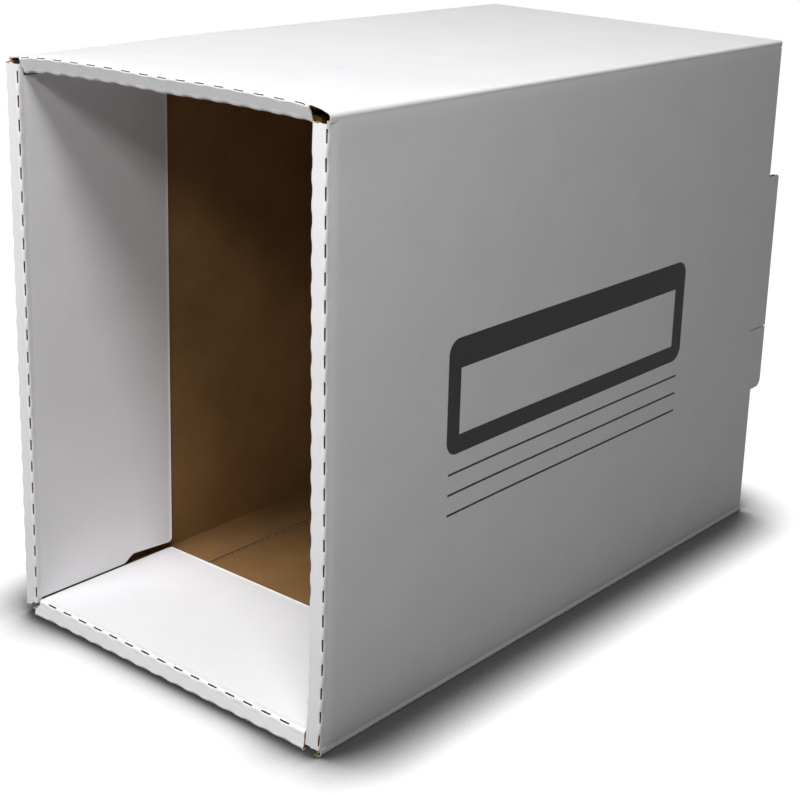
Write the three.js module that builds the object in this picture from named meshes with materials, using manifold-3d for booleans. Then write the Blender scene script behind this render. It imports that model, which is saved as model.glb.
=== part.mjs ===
// Comic book storage box: an open-fronted shell that one short comic box slides into like a drawer.
// It is one blank of corrugated board. Every panel between two creases is its own solid here, drawn
// flat in its own frame and folded up by nested groups, as the real blank is folded.
// A flat frame has X along the crease, Y away from the front and Z from the white face to the brown.
import * as THREE from 'three';
import { mergeVertices } from 'three/addons/utils/BufferGeometryUtils.js';
import Module from 'manifold-3d';

const wasm = await Module();
wasm.setup();

// Shell, in millimetres, outside
const width = 224;
const height = 311;
const depth = 404;

// Corrugated board: two papers with a wave of paper between them
const board = 3;
const linerPaper = 0.4;
const wavePaper = 0.4;
const flutePitch = 6.4;
const fluteDepth = 5;
const waveCrestShare = 0.2;

// Creases: a corner rounded over this length of each board, and two mitred boards that nearly meet
const foldRound = 1.8;
const seat = 0.3;

// Perforation along the front creases, with a slit or a bridge at the middle of a crease
const slitLength = 6.35;
const slitPitch = 12.7;
const slitOpening = 0.9;
const slitMargin = 1.5;
const slitMiddleShare = 0;
const bridgeMiddleShare = 0.5;

// Front rim and the panels rolled in behind it; a level rim leans back from its wall
const rimWidth = 10;
const rimRelief = 4;
const rimEndRadius = 3;
const degree = Math.PI / 180;
const topRimLean = 24 * degree;
const bottomRimLean = 10 * degree;
const cornerClearance = 0.6;
const sidePanelReach = 98;
const levelPanelReach = 95;
const panelStraight = 58;
const panelTaper = 3;
const panelCornerRadius = 6;

// Glue tab inside the lower left corner, pressed thin
const tabWidth = 34;
const tabThickness = 2.4;
const tabInset = 20;
const tabTaper = 8;

// Tongue of the right wall that stands past the rear crease, and its slit
const lipReach = 9.5;
const lipLow = 86;
const lipHigh = 226;
const lipChamfer = 5;
const slitHeight = 127;
const lipSlitReach = 19;
const lipSlitWidth = 0.8;

// Rear closure: three inner flaps, one outer panel and its lock tab
const rearRadius = 2;
const levelFlapReach = 92;
const sideFlapReach = 70;
const flapSideClearance = 1.5;
const flapRearTaper = 10;
const panelLevelInset = 1.5;
const lockClearance = 0.6;
const lockTabReach = 13;
const lockTabInset = 3;
const lockTabRadius = 5;

const overrun = 1;
const arcSteps = 3;
const foldSteps = 2;
const quarter = Math.PI / 2;
const overall = depth + lipReach;
const rearOutside = depth + seat + board;
const mitreGap = seat / Math.SQRT2;

const X = new THREE.Vector3(1, 0, 0);
const Y = new THREE.Vector3(0, 1, 0);
const Z = new THREE.Vector3(0, 0, 1);

// Solids

function toSolid(geometry) {
  geometry.deleteAttribute('normal');
  geometry.deleteAttribute('uv');
  const merged = mergeVertices(geometry);
  return new wasm.Manifold(new wasm.Mesh({
    numProp: 3,
    vertProperties: merged.attributes.position.array,
    triVerts: merged.index.array,
  }));
}

function toGeometry(solid) {
  const mesh = solid.getMesh();
  const geometry = new THREE.BufferGeometry();
  geometry.setAttribute('position', new THREE.BufferAttribute(mesh.vertProperties, 3));
  geometry.setIndex(new THREE.BufferAttribute(mesh.triVerts, 1));
  geometry.computeVertexNormals();
  return geometry;
}

function extrude(outline, length) {
  const shape = new THREE.Shape(outline.map(([a, b]) => new THREE.Vector2(a, b)));
  return new THREE.ExtrudeGeometry(shape, { depth: length, bevelEnabled: false });
}

// Outline in Y and Z, run along the crease from x = from to x = to
function alongCrease(outline, from, to) {
  const geometry = extrude(outline, to - from);
  geometry.applyMatrix4(new THREE.Matrix4().makeBasis(Y, Z, X));
  return toSolid(geometry.translate(from, 0, 0));
}

// Outline in X and Z, run away from the front from y = from to y = to
function alongDepth(outline, from, to) {
  const geometry = extrude(outline, to - from);
  geometry.applyMatrix4(new THREE.Matrix4().makeBasis(X, Z, Y.clone().negate()));
  return toSolid(geometry.translate(0, to, 0));
}

// Outline in X and Y, run through the board
function throughBoard(outline, from = -overrun, to = board + overrun) {
  return toSolid(extrude(outline, to - from).translate(0, 0, from));
}

function box([x0, y0, z0], [x1, y1, z1]) {
  const geometry = new THREE.BoxGeometry(x1 - x0, y1 - y0, z1 - z0);
  return toSolid(geometry.translate((x0 + x1) / 2, (y0 + y1) / 2, (z0 + z1) / 2));
}

// Edges of a board in section, listed from the brown face to the white one

function foldEdge(at, side, fold = quarter, thickness = board) {
  const half = fold / 2;
  const gap = seat / (2 * Math.cos(half));
  const radius = foldRound / Math.tan(half);
  const points = [[at + side * (thickness * Math.tan(half) + gap), thickness]];
  for (let step = 0; step <= foldSteps; step += 1) {
    const turn = half * (1 - step / foldSteps);
    const across = gap + radius * (Math.tan(half) - Math.sin(turn));
    points.push([at + side * across, radius * (1 - Math.cos(turn))]);
  }
  return points;
}

function roundEdge(at, side) {
  const points = [[at, board]];
  for (let step = 0; step <= arcSteps; step += 1) {
    const turn = quarter * (1 - step / arcSteps);
    points.push([at + side * rearRadius * (1 - Math.sin(turn)), rearRadius * (1 - Math.cos(turn))]);
  }
  return points;
}

function cutEdge(at, thickness = board) {
  return [[at, thickness], [at, 0]];
}

function section(startEdge, endEdge) {
  return [...startEdge, ...endEdge.reverse()];
}

// Rounded corner of an outline, swept anticlockwise from the angle start through a quarter turn
function cornerArc(x, y, radius, start) {
  const points = [];
  for (let step = 0; step <= arcSteps; step += 1) {
    const turn = start + quarter * step / arcSteps;
    points.push([x + radius * Math.cos(turn), y + radius * Math.sin(turn)]);
  }
  return points;
}

// Perforation: whole slits from one x to another, a share of the pitch past the middle of the span
function slitCentres(span, share, from, to) {
  const reach = slitLength / 2 + slitMargin;
  const middle = span / 2 + share * slitPitch;
  const before = Math.floor((middle - from - reach) / slitPitch);
  const after = Math.floor((to - middle - reach) / slitPitch);
  return Array.from({ length: before + after + 1 }, (_, index) => middle + (index - before) * slitPitch);
}

function slitCutters(centres, near, far) {
  return centres.map((centre) => box([centre - slitLength / 2, near, -overrun],
    [centre + slitLength / 2, far, board + overrun]));
}

// Flutes: the hollows that a cut edge shows on both sides of the paper wave. The comb is drawn
// along one edge from start to end; place(outline) turns each hollow into a solid cutter.
function fluteCutters(start, end, low, place) {
  const halfCrest = flutePitch * waveCrestShare / 2;
  const halfMouth = flutePitch / 2 - halfCrest - wavePaper;
  const inner = low + linerPaper;
  const outer = low + board - linerPaper;
  const pitches = Math.floor((end - start) / flutePitch);
  const first = (start + end - pitches * flutePitch) / 2 + flutePitch / 2;
  const cutters = [];
  for (let index = 0; index < pitches; index += 1) {
    const middle = first + index * flutePitch;
    cutters.push(place([[middle - halfCrest, inner + wavePaper], [middle + halfCrest, inner + wavePaper],
      [middle + halfMouth, outer], [middle - halfMouth, outer]]));
    if (index < pitches - 1) {
      const next = middle + flutePitch / 2;
      cutters.push(place([[next - halfMouth, inner], [next + halfMouth, inner],
        [next + halfCrest, outer - wavePaper], [next - halfCrest, outer - wavePaper]]));
    }
  }
  return cutters;
}

function cutAll(solid, cutters) {
  return cutters.length ? solid.subtract(wasm.Manifold.union(cutters)) : solid;
}

function piece(name, solid, color) {
  const material = new THREE.MeshStandardMaterial({ color, roughness: 0.85, metalness: 0 });
  const mesh = new THREE.Mesh(toGeometry(solid), material);
  mesh.name = name;
  return mesh;
}

const paperWhite = 0xe9e9ea;
const paperGrey = 0xd9d9db;
const kraft = 0xa9855a;

// One side of the shell: wall, rim strip and rolled-in panel. The side's frame starts at the crease
// where the wall before it ends; span is its outside size along X.

function wall(name, span, startEdge, endEdge, reach, rearEdge, rim) {
  const front = alongCrease(section(foldEdge(0, 1, rim.outerFold), rearEdge), 0, span);
  const tube = alongDepth(section(startEdge, endEdge), 0, reach);
  const slits = slitCutters(rim.outerSlits, -overrun, slitOpening + mitreGap);
  return { name, solid: cutAll(front.intersect(tube), slits) };
}

function rimStrip(name, rim) {
  const { from, to, outerFold, innerFold, outerSlits, innerSlits } = rim;
  const outline = [
    ...cornerArc(from + rimEndRadius, -rimEndRadius, rimEndRadius, quarter),
    ...cornerArc(from + rimEndRadius, -rimWidth + rimEndRadius, rimEndRadius, 2 * quarter),
    ...cornerArc(to - rimEndRadius, -rimWidth + rimEndRadius, rimEndRadius, 3 * quarter),
    ...cornerArc(to - rimEndRadius, -rimEndRadius, rimEndRadius, 0),
  ];
  const profile = section(foldEdge(-rimWidth, 1, innerFold), foldEdge(0, -1, outerFold));
  const strip = alongCrease(profile, from, to).intersect(throughBoard(outline));
  const opening = slitOpening + mitreGap;
  const slits = [
    ...slitCutters(outerSlits, -opening, overrun),
    ...slitCutters(innerSlits, -rimWidth - overrun, -rimWidth + opening),
  ];
  return piece(name, cutAll(strip, slits), paperWhite);
}

function rollPanel(name, rim, reach) {
  const from = rim.panelFrom;
  const to = rim.panelTo;
  const outline = [
    [from, overrun],
    [from, -panelStraight],
    ...cornerArc(from + panelTaper + panelCornerRadius, -reach + panelCornerRadius,
      panelCornerRadius, 2 * quarter),
    ...cornerArc(to - panelTaper - panelCornerRadius, -reach + panelCornerRadius,
      panelCornerRadius, 3 * quarter),
    [to, -panelStraight],
    [to, overrun],
  ];
  const plate = alongCrease(section(cutEdge(-reach), foldEdge(0, -1, rim.innerFold)), from, to)
    .intersect(throughBoard(outline));
  const combStart = -reach + panelCornerRadius;
  const combEnd = -board - mitreGap;
  const cutters = [
    ...slitCutters(rim.innerSlits, -slitOpening - mitreGap, overrun),
    ...fluteCutters(combStart, combEnd, 0,
      (hollow) => alongCrease(hollow, from - overrun, from + fluteDepth)),
    ...fluteCutters(combStart, combEnd, 0,
      (hollow) => alongCrease(hollow, to - fluteDepth, to + overrun)),
  ];
  return piece(name, cutAll(plate, cutters), paperGrey);
}

// A crease is a group at the crease line, turned by its fold. Rolls fold back over the brown face
// at the front; flaps and panels at the rear fold square in the same way from the other end.
function crease(x, y, z, rotation, ...children) {
  const group = new THREE.Group();
  group.position.set(x, y, z);
  group.rotation.set(...rotation);
  group.add(...children);
  return group;
}

const foldRear = [quarter, 0, 0];
const foldSide = [0, -quarter, 0];

function frontRoll(side, rim, reach) {
  const panel = crease(0, -rimWidth, 0, [-rim.innerFold, 0, 0],
    rollPanel(`${side}_roll_panel`, rim, reach));
  return crease(0, 0, 0, [-rim.outerFold, 0, 0], rimStrip(`${side}_rim`, rim), panel);
}

function rimOf(span, ends, lean, outerShare, innerShare) {
  const from = ends;
  const to = span - ends;
  const panelFrom = rimWidth + cornerClearance;
  const panelTo = span - panelFrom;
  return {
    from,
    to,
    panelFrom,
    panelTo,
    outerFold: quarter + lean,
    innerFold: quarter - lean,
    outerSlits: slitCentres(span, outerShare, from, to),
    innerSlits: slitCentres(span, innerShare, panelFrom, panelTo),
  };
}

const levelEnd = rimWidth + cornerClearance;
const bottomRim = rimOf(width, levelEnd, bottomRimLean, slitMiddleShare, slitMiddleShare);
const rightRim = rimOf(height, rimRelief, 0, bridgeMiddleShare, bridgeMiddleShare);
const topRim = rimOf(width, levelEnd, topRimLean, bridgeMiddleShare, bridgeMiddleShare);
const leftRim = rimOf(height, rimRelief, 0, bridgeMiddleShare, slitMiddleShare);

// Inner rear flap, hinged on its brown face, with a taper at each side
function rearFlap(name, from, to, startTaper, endTaper, reach, cutters = []) {
  const outline = [[from, 0], [to, 0], [to - endTaper, reach], [from + startTaper, reach]];
  const plate = throughBoard(outline, -board, 0);
  const edge = from + startTaper;
  const far = to - endTaper;
  const comb = [
    ...fluteCutters(board, reach - board, -board, (hollow) => flapFlute(hollow, from, edge, reach, 1)),
    ...fluteCutters(board, reach - board, -board, (hollow) => flapFlute(hollow, to, far, reach, -1)),
  ];
  return piece(name, cutAll(plate, [...cutters, ...comb]), paperWhite);
}

// One flute hollow, as deep as the others, in a flap's slanted side that runs from root to tip
function flapFlute(hollow, root, tip, reach, side) {
  const middle = (hollow[0][0] + hollow[1][0]) / 2;
  const edge = root + (tip - root) * middle / reach;
  const inside = edge + side * fluteDepth;
  const outside = edge - side * (fluteDepth + Math.abs(tip - root) * flutePitch / reach);
  return alongCrease(hollow, Math.min(inside, outside), Math.max(inside, outside));
}

// Walls, in the order of the blank: bottom, right, top, left, glue tab

function bottomWall() {
  const { name, solid } = wall('bottom_wall', width, cutEdge(0), foldEdge(width, -1), depth,
    roundEdge(depth, -1), bottomRim);
  const combStart = board + slitOpening;
  const comb = fluteCutters(combStart, depth - rearRadius, 0,
    (hollow) => alongCrease(hollow, -overrun, fluteDepth));
  return piece(name, cutAll(solid, comb), paperWhite);
}

function rightWall() {
  const { name, solid } = wall('right_wall', height, foldEdge(0, 1), foldEdge(height, -1), depth,
    roundEdge(depth, -1), rightRim);
  const lip = throughBoard([
    [lipLow, depth - rearRadius - overrun], [lipHigh, depth - rearRadius - overrun],
    [lipHigh, overall], [lipLow + lipChamfer, overall], [lipLow, overall - lipChamfer],
  ], 0, board);
  const slit = box([slitHeight - lipSlitWidth / 2, overall - lipSlitReach, -overrun],
    [slitHeight + lipSlitWidth / 2, overall + overrun, board + overrun]);
  return piece(name, solid.add(lip).subtract(slit), paperWhite);
}

function topWall() {
  const { name, solid } = wall('top_wall', width, foldEdge(0, 1), foldEdge(width, -1), depth,
    roundEdge(depth, -1), topRim);
  return piece(name, solid, paperWhite);
}

const leftSpan = height - board - seat;

function leftWall() {
  const { name, solid } = wall('left_wall', leftSpan, foldEdge(0, 1), foldEdge(leftSpan, -1),
    rearOutside, foldEdge(rearOutside, -1), leftRim);
  return piece(name, solid, paperWhite);
}

function glueTab() {
  const profile = section(foldEdge(0, 1, quarter, tabThickness), cutEdge(tabWidth, tabThickness));
  const outline = [[-overrun, tabInset], [0, tabInset], [tabWidth + overrun, tabInset + tabTaper],
    [tabWidth + overrun, depth - tabInset - tabTaper], [0, depth - tabInset],
    [-overrun, depth - tabInset]];
  const plate = alongDepth(profile, 0, depth).intersect(throughBoard(outline));
  return piece('glue_tab', plate, kraft);
}

// Rear closure

const rearPanelReach = width - board - lockClearance;
const lockFrom = height - lipHigh + lockTabInset;
const lockTo = height - lipLow - lockTabInset;

function rearPanel() {
  const from = panelLevelInset;
  const to = height - panelLevelInset;
  const plate = alongCrease(section(foldEdge(0, 1), cutEdge(rearPanelReach)), from, to);
  const mitre = foldEdge(rearPanelReach, -1);
  const lockRelief = alongCrease([
    ...mitre,
    [mitre.at(-1)[0], -overrun],
    [rearPanelReach + overrun, -overrun],
    [rearPanelReach + overrun, board + overrun],
    [mitre[0][0], board + overrun],
  ], lockFrom - overrun, lockTo + overrun);
  const combStart = board + mitreGap;
  const place = (low, high) => (hollow) => alongCrease(hollow, low, high);
  const comb = [
    ...fluteCutters(combStart, rearPanelReach, 0, place(from - overrun, from + fluteDepth)),
    ...fluteCutters(combStart, rearPanelReach, 0, place(to - fluteDepth, to + overrun)),
  ];
  return piece('rear_panel', cutAll(plate, [lockRelief, ...comb]), paperWhite);
}

function lockTab() {
  const outline = [
    [lockFrom, -overrun],
    [lockTo, -overrun],
    ...cornerArc(lockTo - lockTabRadius, lockTabReach - lockTabRadius, lockTabRadius, 0),
    ...cornerArc(lockFrom + lockTabRadius, lockTabReach - lockTabRadius, lockTabRadius, quarter),
  ];
  const plate = alongCrease(section(foldEdge(0, 1), cutEdge(lockTabReach)), lockFrom, lockTo)
    .intersect(throughBoard(outline));
  return piece('rear_lock_tab', plate, paperWhite);
}

function sideRearFlap() {
  const from = board + flapSideClearance;
  const to = height - board - flapSideClearance;
  const slot = box([lipLow, -overrun, -board - overrun], [lipHigh, lipReach, overrun]);
  return rearFlap('right_rear_flap', from, to, sideFlapReach, sideFlapReach, sideFlapReach, [slot]);
}

// The level flaps keep clear of the side flap when both are pushed in
const levelFlapNear = board + flapSideClearance;
const levelFlapFar = 2 * board + flapSideClearance;

const rearLock = crease(0, rearPanelReach, 0, foldRear, lockTab());
const rearClosure = crease(0, rearOutside, 0, foldRear, rearPanel(), rearLock);
const glue = crease(leftSpan, 0, 0, foldSide, glueTab());
const left = crease(width, 0, 0, foldSide, leftWall(),
  frontRoll('left', leftRim, sidePanelReach), rearClosure, glue);
const topFlap = crease(0, depth - board, board + seat, foldRear,
  rearFlap('top_rear_flap', levelFlapFar, width - levelFlapNear, levelFlapReach, flapRearTaper,
    levelFlapReach));
const top = crease(height, 0, 0, foldSide, topWall(),
  frontRoll('top', topRim, levelPanelReach), topFlap, left);
const sideFlap = crease(0, depth - board, board + seat, foldRear, sideRearFlap());
const right = crease(width, 0, 0, foldSide, rightWall(),
  frontRoll('right', rightRim, sidePanelReach), sideFlap, top);
const bottomFlap = crease(0, depth - board, board + seat, foldRear,
  rearFlap('bottom_rear_flap', levelFlapNear, width - levelFlapFar, flapRearTaper, levelFlapReach,
    levelFlapReach));

const boxShell = new THREE.Group();
boxShell.add(bottomWall(), frontRoll('bottom', bottomRim, levelPanelReach), bottomFlap, right);
boxShell.position.set(-width / 2, -overall / 2, 0);

const model = new THREE.Group();
model.add(boxShell);

export default model;
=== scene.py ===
# %% [markdown]
# # A comic box shell of corrugated board
#
# The object is one die-cut blank of single-wall corrugated board, white outside and brown inside.
# It is folded into an open-fronted tube that a short comic box slides into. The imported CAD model
# gives the size and place of every panel; this script makes each panel again as the real sandwich
# of papers, adds the creases between them, and lights the result like a studio product shot.

# %% The frame
from math import atan2, ceil, cos, pi, radians, sin, tan

import bmesh
import bpy
from mathutils import Matrix, Vector


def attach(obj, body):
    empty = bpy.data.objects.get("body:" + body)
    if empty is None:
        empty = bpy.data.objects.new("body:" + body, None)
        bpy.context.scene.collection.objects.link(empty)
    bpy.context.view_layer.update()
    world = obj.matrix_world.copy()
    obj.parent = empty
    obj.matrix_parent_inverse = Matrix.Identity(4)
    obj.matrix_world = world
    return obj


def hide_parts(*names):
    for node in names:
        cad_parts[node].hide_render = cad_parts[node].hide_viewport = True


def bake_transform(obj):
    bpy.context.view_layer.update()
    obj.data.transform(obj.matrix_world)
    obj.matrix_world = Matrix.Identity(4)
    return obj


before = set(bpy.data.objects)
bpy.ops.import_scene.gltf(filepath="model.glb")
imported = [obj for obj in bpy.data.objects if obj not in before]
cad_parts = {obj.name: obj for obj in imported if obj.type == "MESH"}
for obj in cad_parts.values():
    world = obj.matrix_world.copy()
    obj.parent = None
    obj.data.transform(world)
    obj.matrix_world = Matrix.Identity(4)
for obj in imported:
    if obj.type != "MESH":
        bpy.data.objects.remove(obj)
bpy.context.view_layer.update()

# %% [markdown]
# ## The camera
#
# The place, angle and lens were solved from the long edges of the shell in the photograph. The
# small shift is there because the picture was cropped after it was taken.

# %% Camera
bpy.ops.object.camera_add(
    location=(0.59111, -0.72013, 0.43774),
    rotation=(radians(73.675), radians(-2.321), radians(38.406)))
camera = bpy.context.object
camera.data.lens = 74.79
camera.data.shift_x = -0.0925
camera.data.shift_y = -0.1248
bpy.context.scene.camera = camera
print("camera", tuple(camera.location))

# %% [markdown]
# ## Papers
#
# Corrugated board is made of three papers. The outside is a white-top liner: bleached, matt, with
# faint clouds where the white fibres lie thinner. The inside is a kraft liner: brown, with long
# fibres along the machine direction and a few dark flecks. The wave between them is fluting
# medium, a duller recycled brown. Where a knife or a slit cuts a paper its torn fibres show, so
# cut edges have materials of their own. Each has its own mottling and fibre bump. The wave shows
# through both liners as a faint washboard, one ridge every 6.4 mm, so the materials read the
# attribute "blank", the place of each point on the flat blank in metres.

# %% Node helper
def linear(code):
    """An sRGB hex colour as linear red, green, blue and alpha."""
    values = [int(code[start:start + 2], 16) / 255 for start in (1, 3, 5)]
    return [v / 12.92 if v <= 0.04045 else ((v + 0.055) / 1.055) ** 2.4 for v in values] + [1]


def add_node(material, kind, inputs=None, **settings):
    """Adds a node; an input is a value, or a node and the name of its output."""
    tree = material.node_tree
    new = tree.nodes.new("ShaderNode" + kind)
    for key, value in settings.items():
        setattr(new, key, value)
    for socket, value in (inputs or {}).items():
        if isinstance(value, tuple) and isinstance(value[0], bpy.types.Node):
            tree.links.new(value[0].outputs[value[1]], new.inputs[socket])
        else:
            new.inputs[socket].default_value = value
    return new


# %% Paper maker
MM = 0.001
FLUTE_PITCH = 6.4


def paper(name, light, dark, fleck, roughness, fibre, fibre_bump, washboard, cloud=0.035):
    """A matt paper: clouds, fibres and flecks in its colour, fibres and flutes in its bump.
    Lengths are in millimetres: fibre is the width of one, cloud the size of a thin patch."""
    material = bpy.data.materials.new(name)
    material.use_nodes = True
    nodes = material.node_tree.nodes
    surface = nodes["Principled BSDF"]
    place = add_node(material, "TexCoord")
    blank = add_node(material, "Attribute", attribute_name="blank")
    clouds = add_node(material, "TexNoise", {"Vector": (place, "Object"), "Scale": 1 / cloud,
                                             "Detail": 3, "Roughness": 0.6})
    # Fibres are three times as long as wide, along the machine direction.
    stretch = add_node(material, "Mapping", {"Vector": (blank, "Vector"), "Scale": (3.0, 1.0, 1.0)})
    fibres = add_node(material, "TexNoise", {"Vector": (stretch, "Vector"),
                                             "Scale": 1 / (fibre * MM * 3), "Detail": 4,
                                             "Roughness": 0.7})
    mottle = add_node(material, "Mix", {"Factor": 0.55, "A": (clouds, "Fac"), "B": (fibres, "Fac")})
    spread = add_node(material, "MapRange", {"Value": (mottle, "Result"), "From Min": 0.36,
                                             "From Max": 0.64})
    tone = add_node(material, "Mix", {"Factor": (spread, "Result"), "A": linear(dark),
                                      "B": linear(light)}, data_type="RGBA")
    spots = add_node(material, "TexNoise", {"Vector": (place, "Object"),
                                            "Scale": 1 / (1.6 * MM), "Detail": 2})
    rare = add_node(material, "MapRange", {"Value": (spots, "Fac"), "From Min": 0.70,
                                           "From Max": 0.80, "To Max": 0.5})
    colour = add_node(material, "Mix", {"Factor": (rare, "Result"), "A": (tone, "Result"),
                                        "B": linear(fleck)}, data_type="RGBA")
    split = add_node(material, "SeparateXYZ", {"Vector": (blank, "Vector")})
    turns = add_node(material, "Math", {0: (split, "Y"), 1: 2 * pi / (FLUTE_PITCH * MM)},
                     operation="MULTIPLY")
    ridges = add_node(material, "Math", {0: (turns, "Value")}, operation="SINE")
    board_bump = add_node(material, "Bump", {"Height": (ridges, "Value"), "Strength": 1.0,
                                             "Distance": washboard * MM})
    bump = add_node(material, "Bump", {"Height": (fibres, "Fac"), "Strength": 0.5,
                                       "Distance": fibre_bump * MM,
                                       "Normal": (board_bump, "Normal")})
    material.node_tree.links.new(colour.outputs["Result"], surface.inputs["Base Color"])
    material.node_tree.links.new(bump.outputs["Normal"], surface.inputs["Normal"])
    surface.inputs["Roughness"].default_value = roughness
    surface.inputs["IOR"].default_value = 1.45
    return material


# %% The papers of this board
white_top_liner = paper("white_top_liner", "#F1F0F2", "#EAE9EB", "#CFCBC6", 0.62, 0.35, 0.05, 0.004)
kraft_liner = paper("kraft_liner", "#987347", "#846139", "#5A4227", 0.75, 0.45, 0.10, 0.012)
fluting_medium = paper("fluting_medium", "#8A6A44", "#745636", "#523D26", 0.85, 0.5, 0.15, 0.0)
bleached_cut_edge = paper("bleached_cut_edge", "#E6DDCB", "#CDBFA6", "#A58E6C", 0.9, 0.3, 0.15, 0.0)
kraft_cut_edge = paper("kraft_cut_edge", "#A17B52", "#80603E", "#5C432B", 0.9, 0.3, 0.15, 0.0)
BOARD_PAPERS = [white_top_liner, fluting_medium, kraft_liner,
                bleached_cut_edge, fluting_medium, kraft_cut_edge]
CREASE_PAPERS = [white_top_liner, kraft_liner, bleached_cut_edge]
print("papers", sorted({p.name for p in BOARD_PAPERS}))

# %% [markdown]
# ## The blank and its folds
#
# A box maker draws the whole blank flat. Every panel here is also made flat, in millimetres, with
# X along its crease, Y away from the front and Z from the white face up to the brown one. One
# matrix per panel then folds it to its place and turns millimetres to metres. The matrices are
# chained in the order in which the blank is folded, so a number is only written once.

# %% Sizes of the blank, in millimetres
WIDTH, HEIGHT, DEPTH, BOARD = 224, 311, 404, 3
LINER = 0.35
TANGENT = 1.8
SEAT = 0.3
RIM = 10
LIP_REACH = 9.5
LIP_LOW, LIP_HIGH = 86, 226
OVERALL = DEPTH + LIP_REACH
LEFT_SPAN = HEIGHT - BOARD - SEAT
REAR_OUTSIDE = DEPTH + SEAT + BOARD
REAR_REACH = WIDTH - BOARD - 0.6
SIDES = ("bottom", "right", "top", "left")
SPAN = {"bottom": WIDTH, "right": HEIGHT, "top": WIDTH, "left": HEIGHT}
TILT = {"bottom": 10, "right": 0, "top": 24, "left": 0}


# %% Folding matrices
def turn(angle, axis):
    return Matrix.Rotation(radians(angle), 4, axis)


def at(x, y, z):
    return Matrix.Translation((x, y, z))


FOLD = {"bottom": Matrix.Scale(MM, 4) @ at(-WIDTH / 2, -OVERALL / 2, 0)}
FOLD["right"] = FOLD["bottom"] @ at(WIDTH, 0, 0) @ turn(-90, "Y")
FOLD["top"] = FOLD["right"] @ at(HEIGHT, 0, 0) @ turn(-90, "Y")
FOLD["left"] = FOLD["top"] @ at(WIDTH, 0, 0) @ turn(-90, "Y")
FOLD["glue"] = FOLD["left"] @ at(LEFT_SPAN, 0, 0) @ turn(-90, "Y")
FOLD["rear"] = FOLD["left"] @ at(0, REAR_OUTSIDE, 0) @ turn(90, "X")
FOLD["lock"] = FOLD["rear"] @ at(0, REAR_REACH, 0) @ turn(90, "X")
for side in SIDES:
    FOLD[side + "_rim"] = FOLD[side] @ turn(-90 - TILT[side], "X")
    FOLD[side + "_roll"] = FOLD[side + "_rim"] @ at(0, -RIM, 0) @ turn(TILT[side] - 90, "X")
    FOLD[side + "_flap"] = (FOLD[side] @ at(0, DEPTH - BOARD, BOARD + SEAT) @ turn(90, "X")
                            @ at(0, 0, -BOARD))
print("frames", len(FOLD))

# %% [markdown]
# ## One board, made like the real one
#
# A board could be a plain slab, but its cut edges would then be blank. The real edge shows two
# liners with a wave between them, so a board is made of three sheets. The wave is a grid whose
# rows are lifted and lowered in turn and smoothed by a subdivision; the liners are two planes.
# A cutting die then trims all three at once with bisect, and Solidify gives the papers their
# thickness. The brown liner is pressed down into a shoulder along a crease, as a scoring wheel
# leaves it.

# %% Selecting by place
def work_on(piece):
    bpy.ops.object.select_all(action="DESELECT")
    piece.select_set(True)
    bpy.context.view_layer.objects.active = piece


def pick(piece, kind, test):
    """In edit mode, selects the points, edges or faces whose middle passes the test."""
    bpy.ops.mesh.select_mode(type=kind)
    bpy.ops.mesh.select_all(action="DESELECT")
    mesh = bmesh.from_edit_mesh(piece.data)
    found = 0
    for item in {"VERT": mesh.verts, "EDGE": mesh.edges, "FACE": mesh.faces}[kind]:
        points = [item.co] if kind == "VERT" else [v.co for v in item.verts]
        middle = sum(points, Vector()) / len(points)
        if test(*middle):
            item.select_set(True)
            found += 1
    mesh.select_flush_mode()
    bmesh.update_edit_mesh(piece.data)
    return found


def everywhere(x, y, z):
    return True


def in_white(x, y, z):
    return z < 0.1


def in_liners(x, y, z):
    return z < 0.1 or z > BOARD - 0.1


def slice_board(piece, x, y, normal, clear=False, where=everywhere):
    """A die rule through the board at x, y; with clear, what lies beyond it falls away."""
    if pick(piece, "FACE", where):
        bpy.ops.mesh.bisect(plane_co=(x, y, 0), plane_no=(*normal, 0), clear_outer=clear)


def cut_window(piece, x0, x1, y0, y1, where=everywhere):
    """Four rules, and what lies between them falls out."""
    for x, y, normal in ((x0, 0, (1, 0)), (x1, 0, (1, 0)), (0, y0, (0, 1)), (0, y1, (0, 1))):
        slice_board(piece, x, y, normal, where=where)
    if pick(piece, "FACE", lambda x, y, z: x0 < x < x1 and y0 < y < y1 and where(x, y, z)):
        bpy.ops.mesh.delete(type="FACE")


# %% Sheets of a board
FLUTE_LIFT = 1.12


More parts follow.
